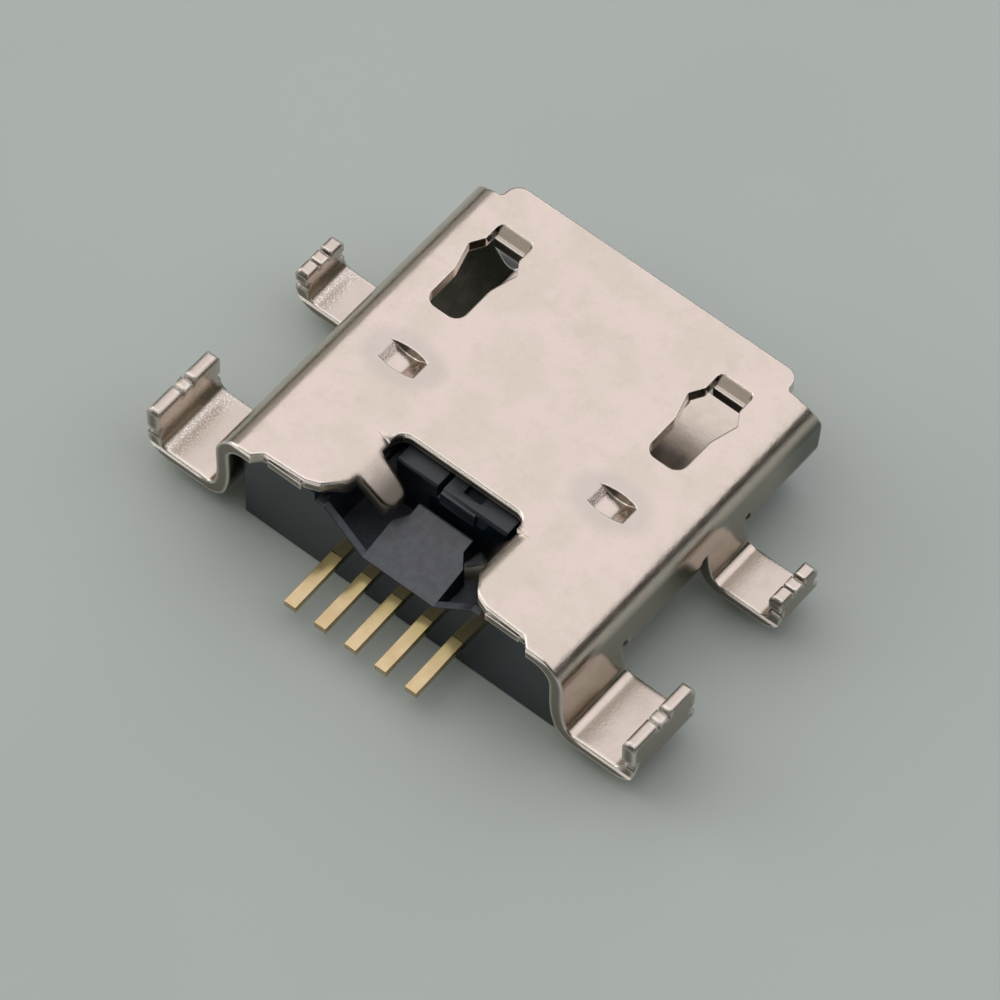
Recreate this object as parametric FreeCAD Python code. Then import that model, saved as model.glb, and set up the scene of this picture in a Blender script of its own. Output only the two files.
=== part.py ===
"""Micro USB socket of the sunk, mid-board kind: folded shell, moulded housing, five contacts.

Millimetres, +Z up. The wide face of the shell is on top and the narrow one lies on z = 0, X runs
across the socket and +Y points out of its mouth. The socket is fitted to a board upside down: the
board then lies on the tails and on the leg flats at BOARD_Z.
"""
import FreeCAD
import Part
import math
import os

V = FreeCAD.Vector

# Standard opening and contact pitch.
CAVITY_WIDTH = 6.90
CAVITY_HEIGHT = 1.85
PITCH = 0.65
CONTACTS = 5

# Shell sheet and cross-section.
SHEET = 0.25
TOP_BEND_R = 0.60
LOW_BEND_R = 0.45
SIDE_WALL_LOW_Z = 1.09
NARROW_HALF = 2.90
SEAM_GAP = 0.04
SEAM_X = 0.25
DOVETAIL_ROOT = 0.35
DOVETAIL_HEAD = 0.55
DOVETAIL_DEPTH = 0.70
DOVETAIL_Y = 0.60

# Shell outline along Y.
LIP_Y = 4.00
LIP_HALF = 3.02
LIP_CORNER_R = 0.26
SCALLOP_Y = 3.63
SCALLOP_R = 0.08
SIDE_LOBE_Y = 3.79
SIDE_LOBE_Z = 1.72
SIDE_CORNER_Y = 3.66
SIDE_CORNER_Z = 0.90
NARROW_FRONT_Y = 3.60
NARROW_LIP_Y = 3.88
NARROW_LIP_HALF = 2.75
REAR_Y = -2.81
LOBE_Y = -3.02
LOBE_X = 2.93
NARROW_REAR_Y = -1.70

# Rear notch of the wide face, and the wings that its sides bend down into.
NOTCH_FRONT_Y = -1.03
NOTCH_HALF = 1.36
NOTCH_CORNER_R = 0.26
NOTCH_CURVE_X = 1.80
DROOP_ROOT_X = 1.70
DROOP_FRONT_Y = -1.32
WING_FRONT_Y = -1.50
WING_REAR_Y = -2.16
WING_BEND_R = 0.25
RIGHT_WING_ANGLE = 52.0
LEFT_WING_ANGLE = 38.0
WING_LENGTH = 0.90
WING_TIP_R = 0.26
STUB_X = (1.97, 2.68)
STUB_REACH = 0.07
STUB_DROP = 0.07

# Latch openings and their flaps, about one axis on each side.
LATCH_X = 2.36
LATCH_REAR_Y = 1.19
LATCH_REAR_HALF = 0.37
LATCH_NECK_Y = 2.02
LATCH_WIDE_Y = 2.54
LATCH_WIDE_HALF = 0.52
LATCH_FRONT_Y = 2.80
LATCH_FRONT_HALF = 0.36
LATCH_CORNER_R = 0.14
FLAP_ROOT_Y = 3.23
FLAP_END_Y = 2.96
FLAP_DROP = 0.13
FLAP_LIP = 0.055
FLAP_GAP = 0.03

# Lanced dimples.
DIMPLE_X = 2.24
DIMPLE_Y = 0.05
DIMPLE_LENGTH = 0.84
DIMPLE_WIDTH = 0.50
DIMPLE_END_WIDTH = 0.36
DIMPLE_SLOPE = 42.0
DIMPLE_EDGE_R = 0.10
DIMPLE_VALLEY_R = 0.34

# Board legs.
BOARD_Z = 0.62
REAR_LEG_Y = (-3.02, -1.44)
FRONT_LEG_Y = (0.80, 1.77)
LEG_FLARE_R = 1.60
LEG_FLARE_ANGLE = 18.0
LEG_ROOT_R = 0.20
LEG_TIP_R = 0.20
TIP_OUTER_X = 5.23
REAR_TIP_Z = 1.53
FRONT_TIP_Z = 1.31
TIP_NOTCH_DEPTH = 0.13
TIP_STUB_HALF = 0.10
TIP_STUB_RISE = 0.09
TIP_GAP = 0.06
TIP_CORNER = 0.08
TIP_EDGE_R = 0.07
BARB_NECK_Z = 0.96
BARB_NECK_R = 0.09
LEG_SLOT = 0.16
LEG_SLOT_TOP_Z = 1.32
LEG_BLANK_X = 1.50

# Housing.
HOUSING_FIT = 0.02
HOUSING_REAR_Y = -2.77
HOUSING_BASE_Y = 0.40
FLANGE_FRONT_Y = -1.74
FLANGE_CLEARANCE = 0.13
FLANGE_LOW_Z = 0.03
FLANGE_TOP_R = 0.38
REAR_WALL = 0.15
TONGUE_WIDTH = 2.94
TONGUE_THICK = 0.62
TONGUE_DROP = 0.42
TONGUE_FRONT_Y = 3.10
TONGUE_CHAMFER = 0.15
POCKET_HALF = 1.62
POCKET_MOUTH_HALF = 2.00
POCKET_EDGE_Z = 1.84
POCKET_FLOOR_Z = 0.80
POCKET_FRONT_Y = -1.37
DROOP_CLEARANCE = 0.06
DIMPLE_CLEARANCE = 0.05
SADDLE_HALF = 0.77
SADDLE_NECK_HALF = 0.58
SADDLE_SHOULDER_Y = -1.99
SADDLE_NECK_Y = -1.75
SADDLE_FRONT_Y = -1.475
SADDLE_REAR_Z = 1.12
SADDLE_FRONT_Z = 1.44
BAR_HALF = 1.18
BAR_TOP_Z = 2.03
BAR_EDGE = 0.05
TAB_X = (-0.21, 0.53)
TAB_REAR_Y = -1.44
TAB_LOW_Z = 1.70
TAB_SLOT = 0.10
GATE_X = (0.10, 0.48)
GATE_REAR_Y = -1.17
GATE_DEPTH = 0.15

# Contacts.
CONTACT_THICK = 0.15
CONTACT_WIDTH = 0.25
BEAM_WIDTH = 0.30
CONTACT_BEND_R = 0.10
CONTACT_SLANT = 50.0
CONTACT_FRONT_Y = 2.65
CONTACT_DROP_Y = -0.90
BEAM_PROUD = 0.04
TAIL_TOP_Z = 0.66
TAIL_SLOPE = 3.0
TAIL_BEND_R = 0.30
TAIL_END_Y = -4.00

HEIGHT = CAVITY_HEIGHT + 2 * SHEET
SHELL_HALF = CAVITY_WIDTH / 2 + SHEET
INNER_TOP_Z = HEIGHT - SHEET
FLANGE_HALF = CAVITY_WIDTH / 2 - FLANGE_CLEARANCE
TONGUE_TOP_Z = INNER_TOP_Z - TONGUE_DROP
TONGUE_LOW_Z = TONGUE_TOP_Z - TONGUE_THICK


def arc_between(start, end, centre, radius):
    """Arc from start to end about centre, the short way round."""
    middle = (start + end) * 0.5 - centre
    middle.normalize()
    return Part.Arc(start, centre + middle * radius, end).toShape()


def rounded_outline(points, to_vector):
    """Closed wire through (a, b, radius) corners; to_vector places (a, b) in space."""
    count = len(points)
    starts = []
    ends = []
    centres = []
    for i in range(count):
        a, b, radius = points[i]
        corner = V(a, b, 0)
        before = V(points[i - 1][0], points[i - 1][1], 0) - corner
        after = V(points[(i + 1) % count][0], points[(i + 1) % count][1], 0) - corner
        before.normalize()
        after.normalize()
        half = before.getAngle(after) / 2
        if radius > 0 and half < math.pi / 2 - 1e-4:
            run = radius / math.tan(half)
            inward = before + after
            inward.normalize()
            starts.append(corner + before * run)
            ends.append(corner + after * run)
            centres.append((corner + inward * (radius / math.sin(half)), radius))
        else:
            starts.append(corner)
            ends.append(corner)
            centres.append(None)
    edges = []
    for i in range(count):
        if centres[i]:
            centre, radius = centres[i]
            edges.append(arc_between(to_vector(starts[i]), to_vector(ends[i]), to_vector(centre), radius))
        following = starts[(i + 1) % count]
        if (following - ends[i]).Length > 1e-6:
            edges.append(Part.makeLine(to_vector(ends[i]), to_vector(following)))
    return Part.Wire(Part.__sortEdges__(edges))


def plan_prism(points, low_z, high_z):
    """Prism of (x, y, radius) corners between two heights."""
    wire = rounded_outline(points, lambda p: V(p.x, p.y, low_z))
    return Part.Face(wire).extrude(V(0, 0, high_z - low_z))


def section_prism(points, low_y, high_y):
    """Prism of (x, z, radius) corners between two Y stations."""
    wire = rounded_outline(points, lambda p: V(p.x, low_y, p.y))
    return Part.Face(wire).extrude(V(0, high_y - low_y, 0))


def side_prism(points, low_x, high_x):
    """Prism of (y, z, radius) corners between two X stations."""
    wire = rounded_outline(points, lambda p: V(low_x, p.x, p.y))
    return Part.Face(wire).extrude(V(high_x - low_x, 0, 0))


def block(x0, x1, y0, y1, z0, z1):
    return Part.makeBox(x1 - x0, y1 - y0, z1 - z0, V(x0, y0, z0))


def mirrored(shape):
    return shape.mirror(V(0, 0, 0), V(1, 0, 0))


def both_sides(shape):
    return [shape, mirrored(shape)]


def ribbon(start, heading, steps, thickness):
    """Face of a bent strip in a plane of (u, w).

    start is on the strip's left side as one walks along heading (degrees). A step is
    ("run", length) or ("left" or "right", radius, degrees), the radius being that of the left side.
    """
    angle = math.radians(heading)
    u, w = start
    left = [(u, w)]
    right = [(u + thickness * math.sin(angle), w - thickness * math.cos(angle))]
    left_mid = []
    right_mid = []
    for step in steps:
        if step[0] == "run":
            u += step[1] * math.cos(angle)
            w += step[1] * math.sin(angle)
            left_mid.append(None)
            right_mid.append(None)
        else:
            radius = step[1]
            turn = math.radians(step[2])
            side = 1 if step[0] == "left" else -1
            outer = radius + side * thickness
            cu = u - side * radius * math.sin(angle)
            cw = w + side * radius * math.cos(angle)
            half = angle + side * turn / 2
            left_mid.append((cu + side * radius * math.sin(half), cw - side * radius * math.cos(half)))
            right_mid.append((cu + side * outer * math.sin(half), cw - side * outer * math.cos(half)))
            angle += side * turn
            u = cu + side * radius * math.sin(angle)
            w = cw - side * radius * math.cos(angle)
        left.append((u, w))
        right.append((u + thickness * math.sin(angle), w - thickness * math.cos(angle)))
    return left, right, left_mid, right_mid


def ribbon_solid(strip, place, sweep):
    """Solid of a ribbon: place maps (u, w) to a point and sweep is its width vector."""
    left, right, left_mid, right_mid = strip
    edges = []
    for side, mids in ((left, left_mid), (right, right_mid)):
        for i, middle in enumerate(mids):
            start = place(*side[i])
            end = place(*side[i + 1])
            if (end - start).Length < 1e-7:
                continue
            if middle is None:
                edges.append(Part.makeLine(start, end))
            else:
                edges.append(Part.Arc(start, place(*middle), end).toShape())
    edges.append(Part.makeLine(place(*left[0]), place(*right[0])))
    edges.append(Part.makeLine(place(*left[-1]), place(*right[-1])))
    wire = Part.Wire(Part.__sortEdges__(edges))
    return Part.Face(wire).extrude(sweep)


def shell_section():
    """Outer and inner faces of the shell's tube in the plane y = 0."""
    outer_points = [
        (-NARROW_HALF, 0, LOW_BEND_R),
        (NARROW_HALF, 0, LOW_BEND_R),
        (SHELL_HALF, SIDE_WALL_LOW_Z, LOW_BEND_R),
        (SHELL_HALF, HEIGHT, TOP_BEND_R),
        (-SHELL_HALF, HEIGHT, TOP_BEND_R),
        (-SHELL_HALF, SIDE_WALL_LOW_Z, LOW_BEND_R),
    ]
    outer = rounded_outline(outer_points, lambda p: V(p.x, 0, p.y))
    inner = outer.makeOffset2D(-SHEET)
    return Part.Face(outer), Part.Face(inner)


def shell_tube():
    outer, inner = shell_section()
    ring = outer.cut(inner)
    ring.translate(V(0, LOBE_Y, 0))
    return ring.extrude(V(0, LIP_Y - LOBE_Y, 0))


def mouth_cuts():
    """What is sheared away in front of the lip, the corner scallops and the side lobes."""
    top = HEIGHT + 1
    bend_x = SHELL_HALF - TOP_BEND_R
    corner = plan_prism(
        [
            (LIP_HALF - 0.5, LIP_Y + 0.6, 0),
            (LIP_HALF - 0.5, LIP_Y, 0),
            (LIP_HALF, LIP_Y, LIP_CORNER_R),
            (LIP_HALF + 0.05, SCALLOP_Y, SCALLOP_R),
            (bend_x + 0.3, SCALLOP_Y, 0),
            (bend_x + 0.3, LIP_Y + 0.6, 0),
        ],
        INNER_TOP_Z - TOP_BEND_R,
        top,
    )
    side = side_prism(
        [
            (LIP_Y + 0.6, top, 0),
            (SCALLOP_Y, top, 0),
            (SCALLOP_Y, HEIGHT - 0.06, 0.1),
            (SIDE_LOBE_Y, SIDE_LOBE_Z, 0.6),
            (SIDE_CORNER_Y, SIDE_CORNER_Z, 0.3),
            (NARROW_FRONT_Y, SIDE_CORNER_Z - 0.25, 0.2),
            (NARROW_FRONT_Y, -1, 0),
            (LIP_Y + 0.6, -1, 0),
        ],
        bend_x,
        SHELL_HALF + 1,
    )
    low = plan_prism(
        [
            (NARROW_LIP_HALF, LIP_Y + 0.6, 0),
            (NARROW_LIP_HALF, NARROW_LIP_Y, 0.10),
            (NARROW_LIP_HALF + 0.12, NARROW_FRONT_Y, 0.20),
            (bend_x + 0.1, NARROW_FRONT_Y, 0),
            (bend_x + 0.1, LIP_Y + 0.6, 0),
        ],
        -1,
        SIDE_WALL_LOW_Z,
    )
    narrow_lip = block(-NARROW_LIP_HALF - 0.5, NARROW_LIP_HALF + 0.5, NARROW_LIP_Y, LIP_Y + 0.6, -1, SHEET + 0.1)
    return both_sides(corner) + both_sides(side) + both_sides(low) + [narrow_lip]


def notch_outline():
    """Rear edge of the wide face, as the region that is sheared away behind it."""
    half = [
        (NOTCH_HALF, NOTCH_FRONT_Y, NOTCH_CORNER_R),
        (NOTCH_HALF + 0.01, WING_REAR_Y - 0.14, 0.25),
        (NOTCH_CURVE_X - 0.14, REAR_Y + 0.11, 0.28),
        (NOTCH_CURVE_X + 0.14, REAR_Y, 0.15),
        (LOBE_X - 0.15, REAR_Y - 0.04, 0.06),
        (LOBE_X, LOBE_Y + 0.02, 0.06),
        (LOBE_X + 0.12, LOBE_Y - 0.2, 0),
    ]
    left = [(-x, y, r) for x, y, r in reversed(half)]
    return half + left


def rear_cuts():
    """The notch, the flat strips that droop into the wings, and the open rear of the narrow face."""
    notch = plan_prism(notch_outline(), INNER_TOP_Z - 0.4, HEIGHT + 1)
    drooping = block(0, DROOP_ROOT_X, REAR_Y - 0.5, DROOP_FRONT_Y, INNER_TOP_Z - 0.1, HEIGHT + 1)
    narrow = block(-LEG_BLANK_X - 0.5, LEG_BLANK_X + 0.5, LOBE_Y - 1, NARROW_REAR_Y, -1, SHEET + 0.3)
    return both_sides(drooping) + [notch, narrow]


def leg_windows():
    """Where the slanted and narrow walls were used up by the legs, with a relief slot beside each."""
    cuts = []
    for low_y, high_y in (REAR_LEG_Y, FRONT_LEG_Y):
        y0 = low_y - LEG_SLOT
        y1 = high_y + LEG_SLOT
        outline = [
            (LEG_BLANK_X, y0, 0.1),
            (SHELL_HALF + 1, y0, 0),
            (SHELL_HALF + 1, y1, 0),
            (LEG_BLANK_X, y1, 0.1),
        ]
        cuts.append(plan_prism(outline, -1, leg_start_z()))
        for near, far in ((y0, low_y), (high_y, y1)):
            slot = side_prism(
                [
                    (near, -1, 0),
                    (near, LEG_SLOT_TOP_Z, LEG_SLOT / 2 - 0.002),
                    (far, LEG_SLOT_TOP_Z, LEG_SLOT / 2 - 0.002),
                    (far, -1, 0),
                ],
                LEG_BLANK_X + 0.5,
                SHELL_HALF + 1,
            )
            cuts.append(slot)
    both = []
    for cut in cuts:
        both += both_sides(cut)
    return both


def leg_drop():
    """Height from the start of a leg's flare to the face of its flat."""
    flare = math.radians(LEG_FLARE_ANGLE)
    return LEG_FLARE_R * math.sin(flare) + LEG_ROOT_R * (1 - math.sin(flare))


def leg_start_z():
    return BOARD_Z + leg_drop()


def leg(span, tip_z):
    """One leg on the right: it flares out of the side wall, lies flat and turns up into a tip."""
    low_y, high_y = span
    flare = math.radians(LEG_FLARE_ANGLE)
    flat_start = SHELL_HALF + LEG_FLARE_R * (1 - math.cos(flare)) + LEG_ROOT_R * math.cos(flare)
    flat_end = TIP_OUTER_X - SHEET - LEG_TIP_R
    strip = ribbon(
        (SHELL_HALF, leg_start_z() + 0.25),
        -90,
        [
            ("run", 0.25),
            ("left", LEG_FLARE_R, LEG_FLARE_ANGLE),
            ("left", LEG_ROOT_R, 90 - LEG_FLARE_ANGLE),
            ("run", flat_end - flat_start),
            ("left", LEG_TIP_R, 90),
            ("run", tip_z - BOARD_Z - LEG_TIP_R),
        ],
        SHEET,
    )
    body = ribbon_solid(strip, lambda u, w: V(u, low_y, w), V(0, high_y - low_y, 0))
    return body.cut(leg_tip_cutter(low_y, high_y, tip_z))


def leg_tip_cutter(low_y, high_y, tip_z):
    """Tool that leaves two shoulders, a lower stub between them and a neck on each side."""
    mid = (low_y + high_y) / 2
    x0 = TIP_OUTER_X - SHEET - 0.05
    x1 = TIP_OUTER_X + 0.5
    half_notch = TIP_STUB_HALF + TIP_GAP
    floor_z = tip_z - TIP_NOTCH_DEPTH
    pieces = [
        block(x0, x1, mid - half_notch, mid - TIP_STUB_HALF, floor_z, tip_z + 1),
        block(x0, x1, mid + TIP_STUB_HALF, mid + half_notch, floor_z, tip_z + 1),
        block(x0, x1, mid - half_notch, mid + half_notch, floor_z + TIP_STUB_RISE, tip_z + 1),
    ]
    for y in (low_y, high_y):
        pieces.append(Part.makeCylinder(BARB_NECK_R, x1 - x0, V(x0, y, BARB_NECK_Z), V(1, 0, 0)))
        side = 1 if y == high_y else -1
        corner = side_prism(
            [
                (y - side * TIP_CORNER, tip_z, 0),
                (y + side * 0.2, tip_z + TIP_CORNER + 0.2, 0),
                (y + side * 0.2, tip_z - TIP_CORNER - 0.2, 0),
            ],
            x0,
            x1,
        )
        pieces.append(corner)
    for x, side in ((TIP_OUTER_X, 1), (TIP_OUTER_X - SHEET, -1)):
        centre_x = x - side * TIP_EDGE_R
        reach_x = x + side * 0.1
        edge = block(
            min(centre_x, reach_x), max(centre_x, reach_x), low_y - 1, high_y + 1, tip_z - TIP_EDGE_R, tip_z + 1
        )
        rod = Part.makeCylinder(
            TIP_EDGE_R, high_y - low_y + 3, V(centre_x, low_y - 1.5, tip_z - TIP_EDGE_R), V(0, 1, 0)
        )
        pieces.append(edge.cut(rod))
    return pieces


def latch_outline():
    """Outline of the right latch opening, its front part stopping at the flap's root."""
    x = LATCH_X
    half = [
        (LATCH_REAR_HALF, LATCH_REAR_Y, LATCH_REAR_HALF * 0.62),
        (LATCH_REAR_HALF, LATCH_NECK_Y, 0.3),
        (LATCH_WIDE_HALF, LATCH_WIDE_Y, 0.05),
        (LATCH_FRONT_HALF, LATCH_FRONT_Y, 0.06),
        (LATCH_FRONT_HALF, FLAP_ROOT_Y, LATCH_CORNER_R),
    ]
    right = [(x + dx, y, r) for dx, y, r in half]
    left = [(x - dx, y, r) for dx, y, r in reversed(half)]
    return right + left


def flap():
    """Flap of the right latch opening: it slopes down rearward and ends in a short level lip."""
    lip_y = FLAP_END_Y + FLAP_LIP
    slope = math.atan2(FLAP_DROP, FLAP_ROOT_Y - lip_y)
    shift = SHEET * math.tan(slope / 2)
    top_z = HEIGHT - FLAP_DROP
    points = [
        (FLAP_ROOT_Y + SHEET, HEIGHT, 0),
        (FLAP_ROOT_Y, HEIGHT, SHEET / 4),
        (lip_y, top_z, SHEET / 8),
        (FLAP_END_Y, top_z, 0),
        (FLAP_END_Y, top_z - SHEET, 0),
        (lip_y + shift, top_z - SHEET, SHEET / 4),
        (FLAP_ROOT_Y + shift, INNER_TOP_Z, SHEET / 8),
        (FLAP_ROOT_Y + SHEET, INNER_TOP_Z, 0),
    ]
    half = LATCH_FRONT_HALF - FLAP_GAP
    return side_prism(points, LATCH_X - half, LATCH_X + half)


def wing(angle):
    """Right side of the notch: a strip that droops along its whole length, and the wing on it."""
    strip = ribbon(
        (DROOP_ROOT_X, HEIGHT),
        180,
        [
            ("left", WING_BEND_R + SHEET, angle),
            ("run", WING_LENGTH),
        ],
        -SHEET,
    )
    length = DROOP_FRONT_Y - REAR_Y
    body = ribbon_solid(strip, lambda u, w: V(u, REAR_Y, w), V(0, length, 0))
    low_z = INNER_TOP_Z - 2
    sheared = plan_prism(notch_outline(), low_z, HEIGHT + 1)
    tip_x = min(strip[0][-1][0], strip[1][-1][0])
    outline = [
        (NOTCH_HALF + 0.3, WING_REAR_Y, 0),
        (NOTCH_HALF + 0.3, WING_FRONT_Y, 0),
        (tip_x, WING_FRONT_Y - 0.06, WING_TIP_R),
        (tip_x, WING_REAR_Y + 0.06, WING_TIP_R),
    ]
    kept = plan_prism(outline, low_z - 1, HEIGHT + 2)
    return body.cut(sheared.cut(kept))


def dimple_bend_x():
    """Distance from the dimple's middle to the corner where its slope meets the level sheet."""
    return DIMPLE_LENGTH / 2 - DIMPLE_EDGE_R * math.tan(math.radians(DIMPLE_SLOPE) / 2)


def dimple_corner_drop():
    """Depth at which the two slopes would meet, were the valley not rounded."""
    return dimple_bend_x() * math.tan(math.radians(DIMPLE_SLOPE))


def dimple_parts():
    """Right dimple: the barrel-shaped lance, the material over its valley and that under it."""
    half = DIMPLE_LENGTH / 2
    ends = DIMPLE_END_WIDTH / 2
    bulge = DIMPLE_WIDTH / 2
    low_z = INNER_TOP_Z - 1
    corners = [V(-half, -ends, low_z), V(half, -ends, low_z), V(half, ends, low_z), V(-half, ends, low_z)]
    edges = [
        Part.Arc(corners[0], V(0, -bulge, low_z), corners[1]).toShape(),
        Part.makeLine(corners[1], corners[2]),
        Part.Arc(corners[2], V(0, bulge, low_z), corners[3]).toShape(),
        Part.makeLine(corners[3], corners[0]),
    ]
    barrel = Part.Face(Part.Wire(edges)).extrude(V(0, 0, 2))
    barrel.translate(V(DIMPLE_X, DIMPLE_Y, 0))

    def valley(level):
        reach = dimple_bend_x()
        points = [
            (DIMPLE_X - half - 0.2, level, 0),
            (DIMPLE_X - reach, level, DIMPLE_EDGE_R),
            (DIMPLE_X, level - dimple_corner_drop(), DIMPLE_VALLEY_R),
            (DIMPLE_X + reach, level, DIMPLE_EDGE_R),
            (DIMPLE_X + half + 0.2, level, 0),
            (DIMPLE_X + half + 0.2, HEIGHT + 1, 0),
            (DIMPLE_X - half - 0.2, HEIGHT + 1, 0),
        ]
        return section_prism(points, DIMPLE_Y - 1, DIMPLE_Y + 1)

    over = barrel.common(valley(HEIGHT))
    below = barrel.common(valley(INNER_TOP_Z))
    below = below.cut(block(0, 9, -9, 9, INNER_TOP_Z, HEIGHT + 2))
    return over, below


def seam_cut():
    """Slit of the narrow face's butt seam with one dovetail."""
    x0 = SEAM_X
    line = [
        (x0, -9),
        (x0, DOVETAIL_Y - DOVETAIL_ROOT / 2),
        (x0 - DOVETAIL_DEPTH, DOVETAIL_Y - DOVETAIL_HEAD / 2),
        (x0 - DOVETAIL_DEPTH, DOVETAIL_Y + DOVETAIL_HEAD / 2),
        (x0, DOVETAIL_Y + DOVETAIL_ROOT / 2),
        (x0, 9),
    ]
    path = Part.makePolygon([V(x, y, -1) for x, y in line])
    slit = path.makeOffset2D(SEAM_GAP / 2, 0, False, True)
    other = path.makeOffset2D(-SEAM_GAP / 2, 0, False, True)
    first = [v.Point for v in slit.OrderedVertexes]
    second = [v.Point for v in other.OrderedVertexes]
    if (first[0] - second[0]).Length < (first[0] - second[-1]).Length:
        second.reverse()
    ring = first + second
    return Part.Face(Part.makePolygon(ring + [ring[0]])).extrude(V(0, 0, 1 + SHEET + 0.1))


def stub():
    """Remnant of the carrier strip on the rear edge of the wide face, right side."""
    x0, x1 = STUB_X
    return block(x0, x1, REAR_Y - STUB_REACH, REAR_Y + 0.1, INNER_TOP_Z, HEIGHT - STUB_DROP)


def make_shell():
    shape = shell_tube()
    shape = shape.cut(mouth_cuts() + rear_cuts() + leg_windows())
    latch = plan_prism(latch_outline(), INNER_TOP_Z - 0.4, HEIGHT + 0.5)
    over, below = dimple_parts()
    shape = shape.cut(both_sides(latch) + both_sides(over) + [seam_cut()])
    added = [flap(), stub(), below]
    added.append(leg(REAR_LEG_Y, REAR_TIP_Z))
    added.append(leg(FRONT_LEG_Y, FRONT_TIP_Z))
    everything = [wing(RIGHT_WING_ANGLE), mirrored(wing(LEFT_WING_ANGLE))]
    for piece in added:
        everything += both_sides(piece)
    return shape.fuse(everything).removeSplitter()


def contact_station(index):
    return (index - (CONTACTS - 1) / 2) * PITCH


def contact_steps():
    """Steps of a contact's side view from its front end, walked along its lower face."""
    beam_z = TONGUE_LOW_Z - BEAM_PROUD
    tail_z = TAIL_TOP_Z - CONTACT_THICK
    down = ("left", CONTACT_BEND_R, CONTACT_SLANT)
    level = ("right", CONTACT_BEND_R + CONTACT_THICK, CONTACT_SLANT)
    bends = ribbon((0, 0), 180, [down, level], CONTACT_THICK)[0][-1]
    slant = math.radians(CONTACT_SLANT)
    run = (beam_z - tail_z + bends[1]) / math.sin(slant)
    reach = -bends[0] + run * math.cos(slant)
    tail_slope = math.radians(TAIL_SLOPE)
    # The end is square to the slope, so its upper corner reaches furthest.
    corner = CONTACT_THICK * math.sin(tail_slope)
    arc = TAIL_BEND_R * math.sin(tail_slope)
    tail = (HOUSING_REAR_Y - TAIL_END_Y - corner - arc) / math.cos(tail_slope)
    steps = [
        ("run", CONTACT_FRONT_Y - CONTACT_DROP_Y - reach),
        down,
        ("run", run),
        level,
        ("run", CONTACT_DROP_Y - HOUSING_REAR_Y),
        ("left", TAIL_BEND_R, TAIL_SLOPE),
        ("run", tail),
    ]
    return steps, beam_z


def contact(index):
    """Contact: flat beam under the tongue, step down behind it, and solder tail."""
    steps, beam_z = contact_steps()
    x = contact_station(index)
    strip = ribbon((CONTACT_FRONT_Y, beam_z), 180, steps, CONTACT_THICK)
    body = ribbon_solid(strip, lambda u, w: V(x - BEAM_WIDTH / 2, u, w), V(BEAM_WIDTH, 0, 0))
    half = CONTACT_WIDTH / 2
    trims = [
        block(x - 1, x - half, TAIL_END_Y - 1, HOUSING_BASE_Y - 0.3, -1, 3),
        block(x + half, x + 1, TAIL_END_Y - 1, HOUSING_BASE_Y - 0.3, -1, 3),
    ]
    return body.cut(trims)


def housing_core():
    """Moulding inside the closed part of the shell, resting on the narrow face."""
    outer, inner = shell_section()
    section = Part.Face(inner.OuterWire.makeOffset2D(-HOUSING_FIT))
    section.translate(V(0, FLANGE_FRONT_Y, -HOUSING_FIT))
    return section.extrude(V(0, HOUSING_BASE_Y - FLANGE_FRONT_Y, 0))


def flange():
    """Square rear end of the moulding between the rear legs, down to the level of the narrow face."""
    top_z = INNER_TOP_Z - 2 * HOUSING_FIT
    outline = [
        (-FLANGE_HALF, FLANGE_LOW_Z, 0),
        (FLANGE_HALF, FLANGE_LOW_Z, 0),
        (FLANGE_HALF, top_z, FLANGE_TOP_R),
        (-FLANGE_HALF, top_z, FLANGE_TOP_R),
    ]
    return section_prism(outline, HOUSING_REAR_Y, FLANGE_FRONT_Y)


def tongue():
    half = TONGUE_WIDTH / 2
    root_y = HOUSING_BASE_Y - 0.2
    outline = [
        (root_y, TONGUE_LOW_Z, 0),
        (TONGUE_FRONT_Y, TONGUE_LOW_Z, 0.05),
        (TONGUE_FRONT_Y, TONGUE_TOP_Z - TONGUE_CHAMFER, 0),
        (TONGUE_FRONT_Y - TONGUE_CHAMFER, TONGUE_TOP_Z, 0),
        (root_y, TONGUE_TOP_Z, 0),
    ]
    return side_prism(outline, -half, half)


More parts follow.
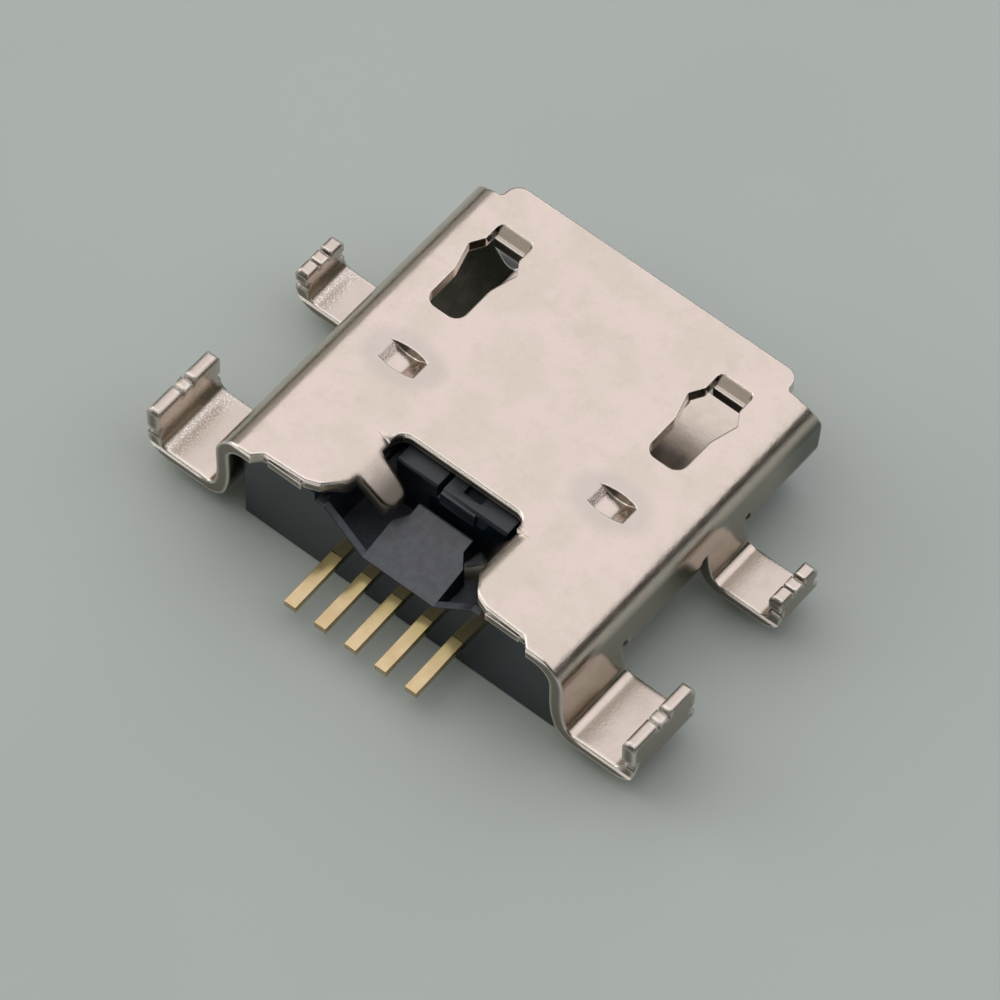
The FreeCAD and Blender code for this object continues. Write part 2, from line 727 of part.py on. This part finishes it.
def housing_pockets():
    """Pockets for the wings and dimples, and the shaped opening over the tails."""
    top = HEIGHT
    droop_half = DROOP_ROOT_X + DROOP_CLEARANCE
    wings = [
        (-POCKET_HALF, POCKET_FLOOR_Z, 0),
        (POCKET_HALF, POCKET_FLOOR_Z, 0),
        (POCKET_HALF, POCKET_EDGE_Z, 0),
        (POCKET_MOUTH_HALF, top, 0),
        (-POCKET_MOUTH_HALF, top, 0),
        (-POCKET_HALF, POCKET_EDGE_Z, 0),
    ]
    opening = [
        (-SADDLE_HALF, SADDLE_REAR_Z, 0),
        (SADDLE_HALF, SADDLE_REAR_Z, 0),
        (POCKET_HALF - 0.05, POCKET_EDGE_Z, 0.1),
        (POCKET_MOUTH_HALF, top, 0),
        (-POCKET_MOUTH_HALF, top, 0),
        (-POCKET_HALF + 0.05, POCKET_EDGE_Z, 0.1),
    ]
    rounding = DIMPLE_VALLEY_R * (1 / math.cos(math.radians(DIMPLE_SLOPE)) - 1)
    dimple_low = INNER_TOP_Z - dimple_corner_drop() + rounding - DIMPLE_CLEARANCE
    dimple_half = DIMPLE_LENGTH / 2 + DIMPLE_CLEARANCE
    dimple_rear = DIMPLE_Y - DIMPLE_WIDTH / 2 - DIMPLE_CLEARANCE
    dimple = block(
        DIMPLE_X - dimple_half, DIMPLE_X + dimple_half, dimple_rear, HOUSING_BASE_Y + 1, dimple_low, top
    )
    droop = block(
        BAR_HALF + 0.05, droop_half, HOUSING_REAR_Y - 1, DROOP_FRONT_Y + DROOP_CLEARANCE, POCKET_EDGE_Z, top
    )
    return [
        section_prism(wings, HOUSING_REAR_Y + REAR_WALL, POCKET_FRONT_Y),
        section_prism(opening, HOUSING_REAR_Y - 1, HOUSING_REAR_Y + REAR_WALL + 0.01),
    ] + both_sides(dimple) + both_sides(droop)


def saddle():
    """Sloped block over the tails, narrower between the wings."""
    low_z = POCKET_FLOOR_Z - 0.1
    slope = side_prism(
        [
            (HOUSING_REAR_Y, low_z, 0),
            (SADDLE_FRONT_Y, low_z, 0),
            (SADDLE_FRONT_Y, SADDLE_FRONT_Z, 0.05),
            (HOUSING_REAR_Y, SADDLE_REAR_Z, 0),
        ],
        -SADDLE_HALF,
        SADDLE_HALF,
    )
    half = [
        (SADDLE_HALF, HOUSING_REAR_Y - 0.1, 0),
        (SADDLE_HALF, SADDLE_SHOULDER_Y, 0.05),
        (SADDLE_NECK_HALF, SADDLE_NECK_Y, 0.05),
        (SADDLE_NECK_HALF, SADDLE_FRONT_Y + 0.1, 0),
    ]
    plan = plan_prism(half + [(-x, y, r) for x, y, r in reversed(half)], low_z - 0.1, HEIGHT)
    return slope.common(plan)


def notch_bars():
    """The moulding's top just behind the notch's front edge: two bars and a tab between them."""
    behind = NOTCH_FRONT_Y + 0.25
    lowered = block(-NOTCH_HALF - 0.1, NOTCH_HALF + 0.1, POCKET_FRONT_Y - 0.01, behind, BAR_TOP_Z, HEIGHT)
    edge = side_prism(
        [
            (POCKET_FRONT_Y, BAR_TOP_Z - BAR_EDGE, 0),
            (POCKET_FRONT_Y + BAR_EDGE, BAR_TOP_Z, 0),
            (POCKET_FRONT_Y - 0.1, BAR_TOP_Z + 0.1, 0),
        ],
        -BAR_HALF - 1,
        BAR_HALF + 1,
    )
    end = block(BAR_HALF, NOTCH_HALF + 0.1, POCKET_FRONT_Y - 0.01, behind - 0.1, POCKET_EDGE_Z - 0.3, HEIGHT)
    slot = block(
        TAB_X[0] - TAB_SLOT, TAB_X[0], POCKET_FRONT_Y - 0.01, behind - 0.1, BAR_TOP_Z - 0.3, HEIGHT
    )
    gate = block(GATE_X[0], GATE_X[1], GATE_REAR_Y, behind - 0.1, BAR_TOP_Z - GATE_DEPTH, HEIGHT)
    tab = side_prism(
        [
            (POCKET_FRONT_Y + 0.05, BAR_TOP_Z - BAR_EDGE, 0),
            (TAB_REAR_Y + 0.03, BAR_TOP_Z - BAR_EDGE, 0),
            (TAB_REAR_Y, TAB_LOW_Z, 0),
            (POCKET_FRONT_Y + 0.05, TAB_LOW_Z, 0),
        ],
        TAB_X[0],
        TAB_X[1],
    )
    return [lowered, edge, slot, gate] + both_sides(end), tab


def make_housing(contacts):
    cuts, tab = notch_bars()
    body = housing_core().fuse([flange(), tongue()])
    body = body.cut(housing_pockets() + cuts)
    body = body.fuse([saddle(), tab]).removeSplitter()
    return body.cut(contacts)


def main():
    os.makedirs("parts", exist_ok=True)
    shell = make_shell()
    contacts = [contact(i) for i in range(CONTACTS)]
    housing = make_housing(contacts)
    shell.exportStep("parts/shell.step")
    housing.exportStep("parts/housing.step")
    for i, piece in enumerate(contacts):
        piece.exportStep("parts/contact_%d.step" % (i + 1))


main()
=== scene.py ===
"""Micro USB socket, dressed: plated shell, glossy black moulding and gilded contacts.

Metres, in the same frame as the solids. The camera looks down at the socket from behind its tails.
Inside the materials, places are in millimetres.
"""
import math

import bpy
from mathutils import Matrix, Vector


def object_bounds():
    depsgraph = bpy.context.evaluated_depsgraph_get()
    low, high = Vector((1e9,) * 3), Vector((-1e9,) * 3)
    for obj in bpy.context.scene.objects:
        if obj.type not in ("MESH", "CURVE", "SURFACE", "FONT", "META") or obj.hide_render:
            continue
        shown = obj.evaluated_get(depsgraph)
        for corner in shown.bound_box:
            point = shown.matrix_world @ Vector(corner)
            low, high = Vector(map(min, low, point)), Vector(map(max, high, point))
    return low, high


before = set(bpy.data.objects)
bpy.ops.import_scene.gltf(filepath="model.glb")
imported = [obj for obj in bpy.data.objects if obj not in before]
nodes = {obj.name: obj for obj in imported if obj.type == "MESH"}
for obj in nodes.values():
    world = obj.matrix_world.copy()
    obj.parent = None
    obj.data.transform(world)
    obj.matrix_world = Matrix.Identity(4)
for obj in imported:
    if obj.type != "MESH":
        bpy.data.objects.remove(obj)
cad_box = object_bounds()
scene = bpy.context.scene

MM = 0.001
PER_METRE = 1000
# Height of the top face in millimetres.
TOP_Z = cad_box[1][2] * PER_METRE

# Camera of the photograph: angles in degrees, round a target on the part.
AZIMUTH = 39.64
ELEVATION = 57.10
DISTANCE = 150 * MM
TARGET = Vector((0.273, -0.445, 1.10)) * MM
LENS = 325.9
SENSOR_WIDTH = 36
CLIP_START = 0.005
CLIP_END = 5

# Light. Each panel has a name, a pair of slopes x/z and a pair of slopes y/z between which it is
# seen from the part, so that it fills a fixed part of the sky, and a radiance.
PANELS = (
    ("overhead", (-1.2, 1.8), (-0.1, 5.0), (1.03, 1.00, 1.04)),
    ("rear_band", (-1.2, 0.3), (-0.5, -0.1), (1.42, 1.38, 1.35)),
    ("left_rear", (-5.0, -1.2), (-2.0, 0.1), (1.75, 1.70, 1.65)),
    ("low_front", (-2.6, -1.2), (2.0, 5.0), (1.45, 1.40, 1.35)),
    ("left_front", (-5.0, -1.2), (0.1, 2.0), (0.31, 0.30, 0.28)),
    ("rear", (-1.2, 0.3), (-0.9, -0.5), (0.50, 0.48, 0.45)),
)
PANEL_HEIGHT = 0.3
ROOM = (0.050, 0.050, 0.045, 1)
FLOOR_HALF = 0.6

# Rounding of sharp edges, as mesh on the housing and contacts and in shading on the shell.
HOUSING_EDGE = 0.015 * MM
CONTACT_EDGE = 0.012 * MM
WELD_DISTANCE = 1e-6
FLAT_ANGLE = math.radians(0.3)
SHARP_ANGLE = math.radians(38)
RIM_RADIUS = 0.055 * MM
LEG_RIM_RADIUS = 0.100 * MM
NOTCH_RIM_EXTRA = 0.060 * MM
RIM_SAMPLES = 8
# The small step at the notch's front corners and the lips of the rear edges are shaded with this
# normal, so that they catch the light from overhead.
LIP_NORMAL = (0.0, -0.34, 0.94)

# Regions of the shell. Each row has a measure and two values: the row is 0 at the first, 1 at the
# second, and a region is the product of its rows. The measures x, y and z are places in millimetres,
# side is the distance from the middle plane, depth is how far under the top face a place lies,
# normal_y is the normal's part along Y, and face_x and face_y are sizes of its parts along X and Y.
SHELL_REGIONS = {
    "top": (("depth", 0.07, 0.02),),
    "leg": (("side", 3.85, 4.20),),
    "sheared": (("face_y", 0.72, 0.90),),
    "folded": (("face_x", 0.08, 0.35), ("depth", 0.60, 0.40)),
    "upright": (("face_x", 0.35, 0.80), ("depth", 0.30, 0.55)),
    "before_leg": (("side", 4.45, 4.20),),
    "past_tip": (("side", 5.12, 5.20),),
    "near_mouth": (("y", 2.4, 3.4),),
    "wing": (("y", -1.20, -1.24), ("y", -2.45, -2.35), ("side", 1.80, 1.72)),
    "hanging": (("depth", 0.01, 0.55),),
    "flap": (
        ("y", 2.93, 2.95), ("y", 3.25, 3.21), ("side", 2.80, 2.76),
        ("depth", 0.01, 0.03), ("depth", 0.45, 0.35),
    ),
    "step": (
        ("y", -1.45, -1.36), ("y", -1.22, -1.26), ("side", 1.85, 1.72),
        ("depth", 0.40, 0.30), ("face_y", 0.3, 0.6),
    ),
    "behind": (("y", -0.95, -1.05),),
    "top_lip": (("depth", 0.13, 0.08),),
    "leg_lip": (("z", 0.51, 0.55), ("z", 0.66, 0.63)),
    "rearward": (("normal_y", -0.7, -0.8),),
    "left_cup": (("x", -4.50, -4.66), ("x", -4.96, -4.86), ("z", 0.60, 0.62)),
}
# Middle of the right dimple and half sizes of the ring of painted shade round it, which stands in
# for a shallow dent; the left one mirrors it.
DIMPLE_AT = (2.24, 0.05)
RING_HALF = (0.62, 0.42)

# Tops of the moulding, which are painted lighter as painted light, and the places that lie as low as
# its block behind the notch, painted greyer still.
HOUSING_REGIONS = {
    "up": (("normal_z", 0.35, 0.80),),
    "low": (("depth", 0.60, 0.80),),
}
# Where a tail is painted darker toward the moulding, as painted shade and painted reflection of the
# black moulding.
TAIL_ROOT = (("y", -3.55, -2.95),)
# Shadow on the floor that is seen through the left latch opening.
FLOOR_SHADOW = (("x", -2.65, -2.90), ("x", -3.65, -3.30), ("y", 4.15, 3.92), ("y", 3.40, 3.75))

# Values of a noise between which a colour passes into the next.
PATCH_EDGES = (0.35, 0.65)

# Colours of the plated sheet.
NICKEL = (0.715, 0.612, 0.543, 1)
NICKEL_PATCH = (0.660, 0.580, 0.498, 1)
NICKEL_BLOTCH = (0.560, 0.490, 0.420, 1)
NICKEL_GRAIN = (0.520, 0.450, 0.380, 1)
# Painted shade round the dimples, in place of a shallow dent in the sheet.
DIMPLE_RING_SHADE = (0.500, 0.465, 0.425, 1)
LEG = (0.520, 0.465, 0.405, 1)
CUP = (0.400, 0.365, 0.320, 1)
CUP_SPECK = (0.900, 0.850, 0.800, 1)
# Upright side walls and the tips' outer faces: partly a duller drawn finish, partly painted shade
# for the shaded floor they reflect.
WALL_DRAWN_AND_SHADE = (0.340, 0.310, 0.255, 1)
# Painted shade on the side walls near the mouth, for the shaded floor they reflect.
WALL_SHADE_AT_MOUTH = (0.110, 0.110, 0.085, 1)
# Painted shade on the drooped wings at the notch, darker the lower they hang.
WING_SHADE = (0.140, 0.125, 0.100, 1)
# Painted shade on the latch flaps.
FLAP_SHADE = (0.200, 0.175, 0.150, 1)
# Sheared faces: darker for their rough fracture and, in part, painted shade for the shaded floor
# they reflect.
SHEARED_AND_SHADE = (0.300, 0.262, 0.215, 1)
# Painted light on the small step at the notch's front corners, so that it does not look shaded like
# a sheared face.
STEP_PAINTED_LIGHT = (0.480, 0.430, 0.380, 1)
# Rims and the lips of rear edges: bright burnished edges with a painted highlight.
RIM_AND_HIGHLIGHT = (0.880, 0.830, 0.770, 1)

# Colours of the moulding: its sides, and the painted light on its tops and on its mottled low top.
BLACK = (0.006, 0.013, 0.019, 1)
BLACK_PATCH = (0.009, 0.018, 0.026, 1)
LIT_BLACK_TOP = (0.024, 0.030, 0.038, 1)
LIT_GREY_LOW = (0.058, 0.064, 0.080, 1)
LIT_GREY_LOW_PATCH = (0.080, 0.088, 0.108, 1)

# Colours of the contacts.
GOLD = (0.620, 0.490, 0.290, 1)
GOLD_PATCH = (0.560, 0.430, 0.240, 1)
GOLD_LINE = (0.430, 0.310, 0.150, 1)
# Painted shade at the tails' roots, by the moulding.
GOLD_ROOT_SHADE = (0.380, 0.320, 0.130, 1)

# Colours of the floor.
MAT = (0.478, 0.530, 0.500, 1)
MAT_PATCH = (0.492, 0.544, 0.514, 1)
MAT_SHADOW = (0.075, 0.082, 0.078, 1)


def add_camera():
    """Camera behind the tails and to their right, high over the socket."""
    data = bpy.data.cameras.new("camera")
    data.sensor_width = SENSOR_WIDTH
    data.lens = LENS
    data.clip_start = CLIP_START
    data.clip_end = CLIP_END
    camera = bpy.data.objects.new("camera", data)
    scene.collection.objects.link(camera)
    a = math.radians(AZIMUTH)
    e = math.radians(ELEVATION)
    back = Vector((math.sin(a) * math.cos(e), -math.cos(a) * math.cos(e), math.sin(e)))
    camera.location = TARGET + back * DISTANCE
    camera.rotation_euler = back.to_track_quat("Z", "Y").to_euler()
    scene.camera = camera


class Graph:
    """Node tree of one material, with short calls for the nodes it uses."""

    def __init__(self, name):
        self.material = bpy.data.materials.new(name)
        self.material.use_nodes = True
        self.tree = self.material.node_tree
        self.shader = self.tree.nodes["Principled BSDF"]

    def fill(self, node, inputs):
        """Feed a node's inputs, by name or number, with constants or other nodes' outputs."""
        for key, value in inputs.items():
            if isinstance(value, bpy.types.NodeSocket):
                self.tree.links.new(value, node.inputs[key])
            else:
                node.inputs[key].default_value = value

    def node(self, kind, inputs, **settings):
        made = self.tree.nodes.new(kind)
        for key, value in settings.items():
            setattr(made, key, value)
        self.fill(made, inputs)
        return made

    def finish(self, inputs):
        """Feed the shader and return the material."""
        self.fill(self.shader, inputs)
        return self.material

    def math(self, operation, a, b=0.0):
        return self.node("ShaderNodeMath", {0: a, 1: b}, operation=operation).outputs[0]

    def combined(self, operation, values):
        """One value from many, taken two at a time."""
        result = values[0]
        for value in values[1:]:
            result = self.math(operation, result, value)
        return result

    def times(self, *values):
        return self.combined("MULTIPLY", values)

    def plus(self, *values):
        return self.combined("ADD", values)

    def largest(self, *values):
        return self.combined("MAXIMUM", values)

    def ramp(self, value, low, high, out_low=0.0, out_high=1.0):
        """Smooth step from out_low at low to out_high at high, where low may be over high."""
        ends = {"From Min": low, "From Max": high, "To Min": out_low, "To Max": out_high}
        inputs = {"Value": value, **ends}
        return self.node("ShaderNodeMapRange", inputs, interpolation_type="SMOOTHSTEP").outputs[0]

    def between(self, mask, off, on):
        """Smooth step from the value off where the mask is 0 to the value on where it is 1."""
        return self.ramp(mask, 0, 1, off, on)

    def region(self, measures, rows):
        """Mask of a region: the product of one ramp per row."""
        return self.times(*(self.ramp(measures[name], low, high) for name, low, high in rows))

    def mix_colours(self, factor, a, b):
        # The colours' sockets are inputs 6 and 7 and output 2.
        return self.node("ShaderNodeMix", {0: factor, 6: a, 7: b}, data_type="RGBA").outputs[2]

    def mix_vectors(self, factor, a, b):
        # The vectors' sockets are inputs 4 and 5 and output 1.
        return self.node("ShaderNodeMix", {0: factor, 4: a, 5: b}, data_type="VECTOR").outputs[1]

    def layered(self, colour, layers):
        """Colour with layers over it, each of them a factor and a colour."""
        for factor, layer in layers:
            colour = self.mix_colours(factor, colour, layer)
        return colour

    def millimetres(self):
        """Object coordinates in millimetres."""
        place = self.node("ShaderNodeTexCoord", {}).outputs["Object"]
        inputs = {0: place, "Scale": PER_METRE}
        return self.node("ShaderNodeVectorMath", inputs, operation="SCALE").outputs[0]

    def normal(self):
        return self.node("ShaderNodeNewGeometry", {}).outputs["Normal"]

    def split(self, vector):
        return self.node("ShaderNodeSeparateXYZ", {0: vector}).outputs

    def depth(self, z):
        return self.math("SUBTRACT", TOP_Z, z)

    def stretched(self, vector, factors, turn=0.0):
        inputs = {"Vector": vector, "Scale": factors, "Rotation": (0, 0, math.radians(turn))}
        return self.node("ShaderNodeMapping", inputs).outputs[0]

    def noise(self, vector, scale, detail, roughness):
        inputs = {"Vector": vector, "Scale": scale, "Detail": detail, "Roughness": roughness}
        return self.node("ShaderNodeTexNoise", inputs).outputs[0]

    def bump(self, height, strength, distance, before=None):
        inputs = {"Height": height, "Strength": strength, "Distance": distance}
        if before is not None:
            inputs["Normal"] = before
        return self.node("ShaderNodeBump", inputs).outputs[0]


def shell_measures(g, place):
    """Measures that the regions of the shell are told by."""
    x, y, z = g.split(place)
    normal_x, normal_y, _ = g.split(g.normal())
    return {
        "x": x,
        "side": g.math("ABSOLUTE", x),
        "y": y,
        "z": z,
        "depth": g.depth(z),
        "normal_y": normal_y,
        "face_x": g.math("ABSOLUTE", normal_x),
        "face_y": g.math("ABSOLUTE", normal_y),
    }


def dimple_ring_shade(g, side, y):
    """Mask of the painted shade round the dimples, in place of a shallow dent: an ellipse that fades
    outwards.
    """
    away = []
    for value, middle, half in zip((side, y), DIMPLE_AT, RING_HALF):
        part = g.math("DIVIDE", g.math("SUBTRACT", value, middle), half)
        away.append(g.times(part, part))
    return g.ramp(g.plus(*away), 2.4, 0.7, 0.0, 0.45)


def shell_masks(g, place):
    """Masks of the shell's regions, by name."""
    measures = shell_measures(g, place)
    mask = {name: g.region(measures, rows) for name, rows in SHELL_REGIONS.items()}
    mask["ring"] = g.times(dimple_ring_shade(g, measures["side"], measures["y"]), mask["top"])
    mask["wall"] = g.times(mask["upright"], g.largest(mask["before_leg"], mask["past_tip"]))
    mask["off_step"] = g.between(mask["step"], 1.0, 0.0)
    top_lip = g.times(mask["top_lip"], mask["behind"])
    leg_lip = g.times(mask["leg_lip"], mask["leg"])
    mask["lip"] = g.times(g.largest(top_lip, leg_lip), mask["sheared"], mask["rearward"])
    return mask


def rolled_normal(g, mask):
    """Normal that is rounded at the sheet's edges."""
    radius = g.plus(
        g.between(mask["leg"], RIM_RADIUS, LEG_RIM_RADIUS),
        g.between(mask["wing"], 0.0, NOTCH_RIM_EXTRA),
        g.times(mask["behind"], NOTCH_RIM_EXTRA),
    )
    return g.node("ShaderNodeBevel", {"Radius": radius}, samples=RIM_SAMPLES).outputs[0]


def rim_mask(g, mask, rolled):
    """Mask of the rims, where the rolled normal turns away from the flat one."""
    pair = {0: rolled, 1: g.normal()}
    cosine = g.node("ShaderNodeVectorMath", pair, operation="DOT_PRODUCT").outputs["Value"]
    off_wing = g.between(mask["wing"], 1.0, 0.0)
    return g.times(g.ramp(cosine, 0.99, 0.92), mask["off_step"], off_wing)


def steel_colour(g, place, mask, patches, blotches, grain):
    """Nickel with patches, blotches and grain, then darker and brighter regions: partly the sheet's
    own legs, cups and sheared faces, partly painted shade, painted light and painted highlights.
    """
    specks = g.ramp(g.noise(place, scale=29.0, detail=1.0, roughness=0.5), 0.52, 0.62)
    return g.layered(NICKEL, (
        (g.ramp(patches, *PATCH_EDGES), NICKEL_PATCH),
        (g.ramp(blotches, 0.45, 0.75, 0.0, 0.25), NICKEL_BLOTCH),
        (g.ramp(grain, 0.55, 0.75, 0.0, 0.30), NICKEL_GRAIN),
        (mask["ring"], DIMPLE_RING_SHADE),
        (g.times(mask["leg"], 0.35), LEG),
        (g.times(mask["left_cup"], 0.25), CUP),
        (g.times(mask["left_cup"], specks, 0.7), CUP_SPECK),
        (mask["wall"], WALL_DRAWN_AND_SHADE),
        (g.times(mask["wall"], mask["near_mouth"]), WALL_SHADE_AT_MOUTH),
        (g.times(mask["wing"], mask["hanging"]), WING_SHADE),
        (g.times(mask["flap"], 0.45), FLAP_SHADE),
        (g.times(mask["sheared"], mask["off_step"]), SHEARED_AND_SHADE),
        (mask["step"], STEP_PAINTED_LIGHT),
        (g.times(mask["rim"], 0.9), RIM_AND_HIGHLIGHT),
        (g.times(mask["lip"], 0.9), RIM_AND_HIGHLIGHT),
    ))


def steel_roughness(g, mask, patches, blotches):
    """Satin sheet that is duller on its legs and most of all on its sheared edges."""
    return g.plus(
        g.ramp(patches, 0.3, 0.7, 0.17, 0.22),
        g.ramp(blotches, 0.35, 0.70, 0.0, 0.05),
        g.times(mask["leg"], 0.03),
        g.times(mask["sheared"], 0.25),
    )


def steel_normal(g, place, mask, rolled, grain):
    """Rolled edges with grit, drawn streaks on the bends, a fine unevenness and scratches on top."""
    smooth = g.mix_vectors(g.largest(mask["step"], mask["lip"]), rolled, LIP_NORMAL)
    rugged = g.largest(
        g.times(mask["leg"], 0.4), mask["sheared"], mask["left_cup"], g.times(mask["folded"], 0.5)
    )
    grit = g.times(grain, g.between(rugged, 0.25, 1.0))
    streaks = g.noise(g.stretched(place, (7.0, 2.0, 7.0)), scale=2.0, detail=3.0, roughness=0.6)
    fine = g.noise(place, scale=12.0, detail=3.0, roughness=0.6)
    along = g.stretched(place, (7.0, 0.35, 1.0), turn=28)
    across = g.stretched(place, (0.4, 8.0, 1.0), turn=12)
    scratches = g.largest(
        g.ramp(g.noise(along, scale=6.0, detail=2.0, roughness=0.5), 0.66, 0.74),
        g.ramp(g.noise(across, scale=5.0, detail=2.0, roughness=0.5), 0.67, 0.75),
    )
    normal = g.bump(grit, strength=0.35, distance=0.010 * MM, before=smooth)
    streaks = g.times(streaks, mask["folded"])
    normal = g.bump(streaks, strength=0.16, distance=0.014 * MM, before=normal)
    normal = g.bump(fine, strength=0.12, distance=0.012 * MM, before=normal)
    scratches = g.times(scratches, mask["top"])
    return g.bump(scratches, strength=0.12, distance=0.005 * MM, before=normal)


def plated_steel():
    """Satin nickel plate with faint patches, sheared edges darker partly as painted shade, rims with
    painted highlights, and painted shade on walls, wings, flaps and round the dimples.
    """
    g = Graph("plated_steel")
    p = g.millimetres()
    mask = shell_masks(g, p)
    rolled = rolled_normal(g, mask)
    mask["rim"] = rim_mask(g, mask, rolled)
    patches = g.noise(p, scale=0.9, detail=3.0, roughness=0.55)
    blotches = g.noise(p, scale=3.2, detail=3.0, roughness=0.6)
    grain = g.noise(p, scale=30.0, detail=2.0, roughness=0.6)
    return g.finish({
        "Base Color": steel_colour(g, p, mask, patches, blotches, grain),
        "Metallic": 1.0,
        "Roughness": steel_roughness(g, mask, patches, blotches),
        "Normal": steel_normal(g, p, mask, rolled, grain),
    })


def black_moulding():
    """Black moulding, glossy at its sides, with a rougher grain on its tops, which are painted
    lighter and greyer as painted light.
    """
    g = Graph("black_moulding")
    p = g.millimetres()
    measures = {"depth": g.depth(g.split(p)[2]), "normal_z": g.split(g.normal())[2]}
    up = g.region(measures, HOUSING_REGIONS["up"])
    low = g.region(measures, HOUSING_REGIONS["low"])
    patches = g.noise(p, scale=3.0, detail=3.0, roughness=0.6)
    mottles = g.noise(p, scale=7.0, detail=3.0, roughness=0.6)
    grain = g.noise(p, scale=30.0, detail=3.0, roughness=0.6)
    # The tops are painted lighter as painted light, and the low block greyer still, with mottles.
    colour = g.layered(BLACK, (
        (g.ramp(patches, *PATCH_EDGES), BLACK_PATCH),
        (up, LIT_BLACK_TOP),
        (g.times(up, low), g.mix_colours(g.ramp(mottles, *PATCH_EDGES), LIT_GREY_LOW, LIT_GREY_LOW_PATCH)),
    ))
    rough = g.plus(g.between(up, 0.10, 0.36), g.times(g.ramp(grain, 0.4, 0.7), 0.05))
    normal = g.bump(g.times(grain, g.between(up, 0.05, 1.0)), strength=0.25, distance=0.008 * MM)
    return g.finish({"Base Color": colour, "Roughness": rough, "IOR": 1.55, "Normal": normal})


def gilded_contact():
    """Pale gold flash over stamped contacts, with drawn lines along them and painted shade at their
    roots.
    """
    g = Graph("gilded_contact")
    p = g.millimetres()
    patches = g.noise(p, scale=2.2, detail=3.0, roughness=0.6)
    lines = g.noise(g.stretched(p, (30.0, 1.2, 4.0)), scale=2.0, detail=2.0, roughness=0.5)
    root = g.region({"y": g.split(p)[1]}, TAIL_ROOT)
    colour = g.layered(GOLD, (
        (g.ramp(patches, *PATCH_EDGES), GOLD_PATCH),
        (g.ramp(lines, 0.55, 0.75, 0.0, 0.25), GOLD_LINE),
        (g.times(root, 0.75), GOLD_ROOT_SHADE),
    ))
    rough = g.ramp(patches, 0.3, 0.7, 0.20, 0.30)
    normal = g.bump(lines, strength=0.15, distance=0.005 * MM)
    return g.finish({"Base Color": colour, "Metallic": 1.0, "Roughness": rough, "Normal": normal})


def floor_surface():
    """Matt green-grey mat, nearly even."""
    g = Graph("floor_surface")
    p = g.millimetres()
    x, y, _ = g.split(p)
    patches = g.noise(p, scale=0.12, detail=2.0, roughness=0.5)
    colour = g.layered(MAT, (
        (g.ramp(patches, 0.3, 0.7), MAT_PATCH),
        (g.region({"x": x, "y": y}, FLOOR_SHADOW), MAT_SHADOW),
    ))
    return g.finish({"Base Color": colour, "Roughness": 0.55, "Specular IOR Level": 0.3})


def dress(node, material, edge=None):
    """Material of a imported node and, where edge is given, a real rounding of its sharp edges."""
    obj = nodes[node]
    obj.data.materials.clear()
    obj.data.materials.append(material)
    if edge is None:
        return
    weld = obj.modifiers.new("weld", "WELD")
    weld.merge_threshold = WELD_DISTANCE
    flat = obj.modifiers.new("flat", "DECIMATE")
    flat.decimate_type = "DISSOLVE"
    flat.angle_limit = FLAT_ANGLE
    bevel = obj.modifiers.new("edges", "BEVEL")
    bevel.width = edge
    bevel.segments = 2
    bevel.limit_method = "ANGLE"
    bevel.angle_limit = SHARP_ANGLE
    bevel.use_clamp_overlap = False
    bevel.miter_outer = "MITER_ARC"
    obj.modifiers.new("shading", "WEIGHTED_NORMAL")


def add_floor():
    mesh = bpy.data.meshes.new("floor")
    corners = ((-1, -1), (1, -1), (1, 1), (-1, 1))
    mesh.from_pydata([(x * FLOOR_HALF, y * FLOOR_HALF, 0) for x, y in corners], [], [(0, 1, 2, 3)])
    floor = bpy.data.objects.new("floor", mesh)
    scene.collection.objects.link(floor)
    floor.data.materials.append(floor_surface())


def add_panel(name, across, along, radiance):
    """Softbox parallel to the floor, given by the slopes under which its edges are seen."""
    width = (across[1] - across[0]) * PANEL_HEIGHT
    depth = (along[1] - along[0]) * PANEL_HEIGHT
    data = bpy.data.lights.new(name, "AREA")
    data.shape = "RECTANGLE"
    data.size = width
    data.size_y = depth
    # This power gives the panel a radiance of 1, which its colour then scales.
    data.energy = math.pi * width * depth
    data.color = radiance
    light = bpy.data.objects.new(name, data)
    scene.collection.objects.link(light)
    light.location = (sum(across) / 2 * PANEL_HEIGHT, sum(along) / 2 * PANEL_HEIGHT, PANEL_HEIGHT)


def add_world():
    """Dim and even room round the panels."""
    world = bpy.data.worlds.new("studio")
    world.use_nodes = True
    world.node_tree.nodes["Background"].inputs["Color"].default_value = ROOM
    scene.world = world


add_camera()
add_world()
add_floor()
for panel in PANELS:
    add_panel(*panel)

dress("shell", plated_steel())
dress("housing", black_moulding(), HOUSING_EDGE)
gold = gilded_contact()
for index in range(1, 6):
    dress("contact_%d" % index, gold, CONTACT_EDGE)

scene.view_settings.view_transform = "Standard"
scene.view_settings.look = "None"
